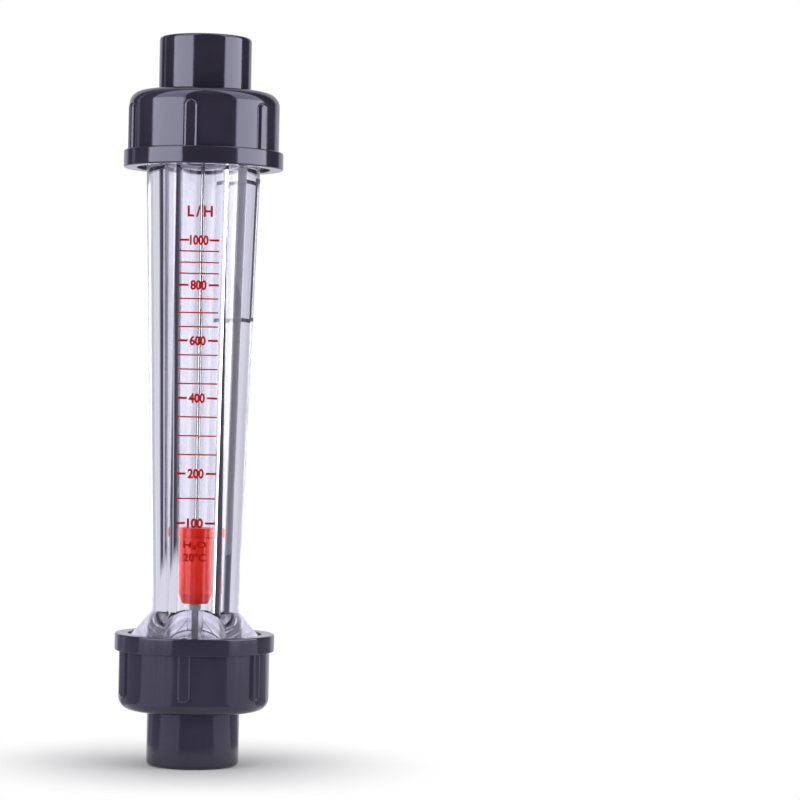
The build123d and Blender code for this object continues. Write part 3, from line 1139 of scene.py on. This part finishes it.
class FLOWMETER_OT_float(bpy.types.Operator):
    """Model the float: its rimmed body and its tapered cap"""

    bl_idname = "flow_meter.float"
    bl_label = "Float"

    def execute(self, context):
        body_profile = [
            (FLOAT_HOLE, CAP_HEAD),
            (SLEEVE_RADIUS, CAP_HEAD),
            (SLEEVE_RADIUS, POCKET_HEAD),
            (POCKET_RADIUS, POCKET_HEAD),
            (POCKET_RADIUS, CAP_HEAD),
            (FLOAT_RADIUS, CAP_HEAD),
            (FLOAT_RADIUS, RIM_SLOPE_FOOT),
            (RIM_RADIUS, RIM_FOOT),
            (RIM_RADIUS, FLOAT_HEAD),
            (FLOAT_HOLE, FLOAT_HEAD),
        ]
        rim_edges = [(RIM_RADIUS, FLOAT_HEAD, 0.45, 3), (RIM_RADIUS, RIM_FOOT, 0.15, 2)]
        body = turned("float_body_red", body_profile, rim_edges, FLOAT_SEGMENTS)
        smooth(body)
        cap_profile = [
            (FLOAT_HOLE, CAP_FOOT),
            (CAP_FOOT_RADIUS, CAP_FOOT),
            (FLOAT_RADIUS, CAP_HEAD),
            (POCKET_RADIUS, CAP_HEAD),
            (POCKET_RADIUS, SPIGOT_HEAD),
            (SLEEVE_RADIUS, SPIGOT_HEAD),
            (SLEEVE_RADIUS, CAP_HEAD),
            (FLOAT_HOLE, CAP_HEAD),
        ]
        cap = turned("float_cap_red", cap_profile, [(CAP_FOOT_RADIUS, CAP_FOOT, 0.4, 3)], FLOAT_SEGMENTS)
        smooth(cap)
        finish_piece(body, "red_plastic", "red_plastic", "float", "float_body")
        finish_piece(cap, "red_plastic", "red_plastic", "float", "float_cap")
        finish_piece(welded_copy("float_core", "float_core_ring"), "steel", "steel", "float", "float_core")
        return {"FINISHED"}


# Guides, rod, stops and seals

STOP_HOLE, STOP_ROUNDING = 1.02, 0.9
# The upper stop starts this much higher, so that the float's top meets it without cutting in
UPPER_STOP_ROOM = 0.04


class FLOWMETER_OT_inner_pieces(bpy.types.Operator):
    """Model the guides, the guide rod, its stops and the face seals"""

    bl_idname = "flow_meter.inner_pieces"
    bl_label = "Guides, Rod and Seals"

    def execute(self, context):
        for node, room in (("lower_bumper", 0.0), ("upper_bumper", UPPER_STOP_ROOM)):
            low, high = (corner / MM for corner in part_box(node))
            foot, head, radius = low.z + room, high.z, high.x
            profile = [(STOP_HOLE, foot), (radius, foot), (radius, head), (STOP_HOLE, head)]
            edges = [(radius, foot, STOP_ROUNDING, 6), (radius, head, STOP_ROUNDING, 6)]
            bead = turned(node + "_piece", profile, edges, 64)
            smooth(bead)
            finish_piece(bead, "bumper_plastic", "bumper_plastic", "tube", node)
        for node, finish, body in (
            ("lower_guide", "pale_plastic", "tube"),
            ("upper_guide", "pale_plastic", "tube"),
            ("guide_rod", "steel", "tube"),
            ("lower_seal", "seal_rubber", "lower_tail"),
            ("upper_seal", "seal_rubber", "upper_tail"),
        ):
            piece = welded_copy(node, node + "_piece")
            smooth(piece)
            finish_piece(piece, finish, finish, body, node)
        return {"FINISHED"}


# Stage

# The camera's distance and height, in millimetres, and its turns to the side and in its picture, in degrees
CAMERA_DISTANCE = 820.0
CAMERA_HEIGHT = 103.9
CAMERA_SIDE = 1.0
CAMERA_ROLL = 1.1
# The picture's column, in pixels, where the flow meter's axis stands
AXIS_COLUMN = 198.7
PICTURE_WIDTH = 800
SENSOR_WIDTH = 36
# The room's sectors, in degrees round the object from the camera's side
CARD = -124, -116
LEFT_LAMP = -84, -30
RIGHT_LAMP = 50, 102
WALL_EDGE = 140.0
SECTOR_EDGE = 1.5
# How bright the room's parts are, as gloss and clear plastic see them
WALL_GLOW = 0.85
CARD_GLOW = 0.8
ROOM_DARK = 0.14
DEEP_SHADE = 0.08
LAMP_GLOW = 3.0
FLOOR_LAMPS = 0.9
FLOOR_SHEEN, FAR_SHEEN = 0.4, 0.05
CEILING_GLOW = 0.5
# How bright the room is for matt surfaces
ROOM_LEVEL = 0.5
# The ceiling's glow comes in between two heights, in degrees
CEILING = 35, 70
# The softboxes' distance and height, in metres
SOFTBOX_DISTANCE, SOFTBOX_HEIGHT = 0.6, 0.35
# The floor's size and drop, in metres
FLOOR_SIZE, FLOOR_DROP = 40, 0.0002
# Distances from the axis, in millimetres, between which the floor goes over to white, mirrors the room,
# loses its sheen, and loses the wall that is seen through the object
FLOOR_WHITE = 14, 75
FLOOR_MIRROR = 40, 60
SHEEN_END = 470, 640
WALL_END = 1600, 2400


def softbox(name, start, end):
    """Hang an upright softbox that fills a sector of the room."""
    width = 2 * SOFTBOX_DISTANCE * math.tan(math.radians((end - start) / 2))
    lamp = bpy.data.lights.new(name, "AREA")
    lamp.shape = "RECTANGLE"
    lamp.size = width
    lamp.size_y = SOFTBOX_HEIGHT
    lamp.energy = LAMP_GLOW * math.pi * width * SOFTBOX_HEIGHT
    holder = bpy.data.objects.new(name, lamp)
    turn = math.radians((start + end) / 2)
    out = SOFTBOX_DISTANCE
    place = Vector((math.sin(turn) * out, -math.cos(turn) * out, SOFTBOX_HEIGHT / 2))
    holder.location = place
    holder.rotation_euler = Vector((-place.x, -place.y, 0)).to_track_quat("-Z", "Y").to_euler()
    bpy.context.collection.objects.link(holder)


def room_glow(maker, x, y, lamps):
    """Return how bright the room is towards a place round the object.

    A white wall stands behind the object, with a narrow white card to the left of it, and the rest is dark.
    Lamps is the glow of the two softboxes' sectors, for what mirrors them.
    """
    angle = maker.math("ARCTAN2", x, 0.0 - y) * math.degrees(1)
    card = angle.between(*CARD, SECTOR_EDGE) * CARD_GLOW
    wall = maker.math("MAXIMUM", abs(angle).ramp(WALL_EDGE - 4, WALL_EDGE + 4), card)
    left = angle.between(*LEFT_LAMP, SECTOR_EDGE)
    right = angle.between(*RIGHT_LAMP, SECTOR_EDGE)
    front = angle.between(LEFT_LAMP[1], RIGHT_LAMP[0], SECTOR_EDGE)
    side = abs(angle).between(RIGHT_LAMP[1], WALL_EDGE - 6, 3.0)
    return wall * (WALL_GLOW - ROOM_DARK) + (left + right) * lamps + ROOM_DARK - (front + side) * DEEP_SHADE


def room_tint(maker, glow):
    """Return the faint violet cast of the room, which is stronger where it is dark."""
    return maker.colour_mix(glow.ramp(0.0, 1.0), (0.74, 0.69, 1.0, 1), (0.91, 0.905, 1.0, 1))


def room_light():
    """Light matt surfaces evenly, and let gloss and clear plastic see the room's wall and dark sides."""
    world = bpy.data.worlds.new("studio")
    bpy.context.scene.world = world
    world.use_nodes = True
    maker = Maker(world.node_tree)
    way = maker.node("ShaderNodeTexCoord")["Generated"]
    parts = maker.node("ShaderNodeSeparateXYZ", inputs={"Vector": way})
    ray = maker.node("ShaderNodeLightPath")
    sharp = maker.math("MAXIMUM", ray["Is Glossy Ray"], ray["Is Transmission Ray"])
    high = maker.math("ARCSINE", parts["Z"]) * math.degrees(1)
    room = room_glow(maker, parts["X"], parts["Y"], LAMP_GLOW) + high.ramp(*CEILING) * CEILING_GLOW
    soft = 1 - maker.math("MAXIMUM", sharp, ray["Is Camera Ray"])
    strength = sharp * room + (1 - sharp) * ray["Is Camera Ray"] + soft * ROOM_LEVEL
    tint = maker.colour_mix(sharp, (1, 1, 1, 1), room_tint(maker, room))
    light = maker.node("ShaderNodeBackground", None, {"Color": tint, "Strength": strength})["Background"]
    maker.finish(light, "ShaderNodeOutputWorld")


def floor_finish():
    """Pale floor that keeps the object's shadow and fades into the white background."""
    maker = new_material("pale_floor")
    x, y, _ = maker.place()
    reach = maker.math("SQRT", x * x + y * y)
    speck = maker.grain(30.0, 2.0)
    near = maker.surface(
        {
            "Base Color": maker.colour_mix(speck, (0.93, 0.93, 0.94, 1), (0.96, 0.96, 0.97, 1)),
            "Roughness": 0.8,
        }
    )
    far = maker.glow((1, 1, 1, 1), 1.0)
    ray = maker.node("ShaderNodeLightPath")
    glow = room_glow(maker, x, y, FLOOR_LAMPS)
    pale_side = (x < 0.0) * reach.ramp(*WALL_END, 1.0, 0.0)
    clear = ray["Is Transmission Ray"]
    gloss = ray["Is Glossy Ray"] * reach.ramp(*SHEEN_END, FLOOR_SHEEN, FAR_SHEEN)
    sheen = maker.math("MAXIMUM", clear * pale_side * WALL_GLOW, gloss)
    strength = maker.math("MAXIMUM", glow, sheen)
    mirrored = maker.glow(room_tint(maker, strength), strength)
    sharp = maker.math("MAXIMUM", ray["Is Glossy Ray"], clear) * reach.ramp(*FLOOR_MIRROR)
    maker.finish(maker.blend(sharp, maker.blend(reach.ramp(*FLOOR_WHITE), near, far), mirrored))


class FLOWMETER_OT_stage(bpy.types.Operator):
    """Set the pale floor, the lights and the camera"""

    bl_idname = "flow_meter.stage"
    bl_label = "Stage"

    def execute(self, context):
        bpy.ops.object.select_all(action="DESELECT")
        bpy.ops.mesh.primitive_plane_add(size=FLOOR_SIZE, location=(0, 0, -FLOOR_DROP))
        floor = bpy.context.object
        floor.name = "studio_floor"
        floor_finish()
        floor.data.materials.append(bpy.data.materials["pale_floor_finish"])
        room_light()
        softbox("left_softbox", *LEFT_LAMP)
        softbox("right_softbox", *RIGHT_LAMP)

        camera = bpy.data.cameras.new("photo_camera")
        holder = bpy.data.objects.new("photo_camera", camera)
        context.collection.objects.link(holder)
        context.scene.camera = holder
        context.scene.view_settings.view_transform = "Standard"
        focal_pixels = CAMERA_DISTANCE / PIXEL
        side = math.radians(CAMERA_SIDE)
        aim = math.atan((PICTURE_WIDTH / 2 - AXIS_COLUMN) / focal_pixels)
        camera.sensor_width = SENSOR_WIDTH
        camera.lens = focal_pixels * math.cos(aim) / PICTURE_WIDTH * SENSOR_WIDTH
        camera.clip_start, camera.clip_end = 0.01, 100
        place = Vector((math.sin(side), -math.cos(side), 0)) * CAMERA_DISTANCE * MM
        holder.location = place + UP * (CAMERA_HEIGHT * MM)
        turn = Matrix.Rotation(side - aim, 4, "Z") @ Matrix.Rotation(math.pi / 2, 4, "X")
        roll = Matrix.Rotation(math.radians(CAMERA_ROLL), 4, "Z")
        holder.rotation_euler = (turn @ roll).to_euler()
        return {"FINISHED"}


class FLOWMETER_PT_panel(bpy.types.Panel):
    """Lists the pieces of the flow meter"""

    bl_idname = "FLOWMETER_PT_panel"
    bl_label = "Flow Meter"
    bl_space_type = "VIEW_3D"
    bl_region_type = "UI"
    bl_category = "Flow Meter"

    def draw(self, context):
        for name in FlowMeterSettings.__annotations__:
            self.layout.prop(context.scene.flow_meter, name)
        for operator in OPERATORS:
            self.layout.operator(operator.bl_idname)


OPERATORS = (
    FLOWMETER_OT_stage,
    FLOWMETER_OT_measuring_tube,
    FLOWMETER_OT_scale_print,
    FLOWMETER_OT_label,
    FLOWMETER_OT_union_nuts,
    FLOWMETER_OT_tail_pieces,
    FLOWMETER_OT_float,
    FLOWMETER_OT_inner_pieces,
)
CLASSES = (FlowMeterSettings, *OPERATORS, FLOWMETER_PT_panel)


def register():
    """Register the settings, the operators and the panel."""
    for kind in CLASSES:
        bpy.utils.register_class(kind)
    bpy.types.Scene.flow_meter = bpy.props.PointerProperty(type=FlowMeterSettings)


def unregister():
    """Remove what register added."""
    del bpy.types.Scene.flow_meter
    for kind in reversed(CLASSES):
        bpy.utils.unregister_class(kind)


def main():
    """Build the whole scene."""
    register()
    for operator in OPERATORS:
        group, name = operator.bl_idname.split(".")
        getattr(getattr(bpy.ops, group), name)()


if __name__ == "__main__":
    main()
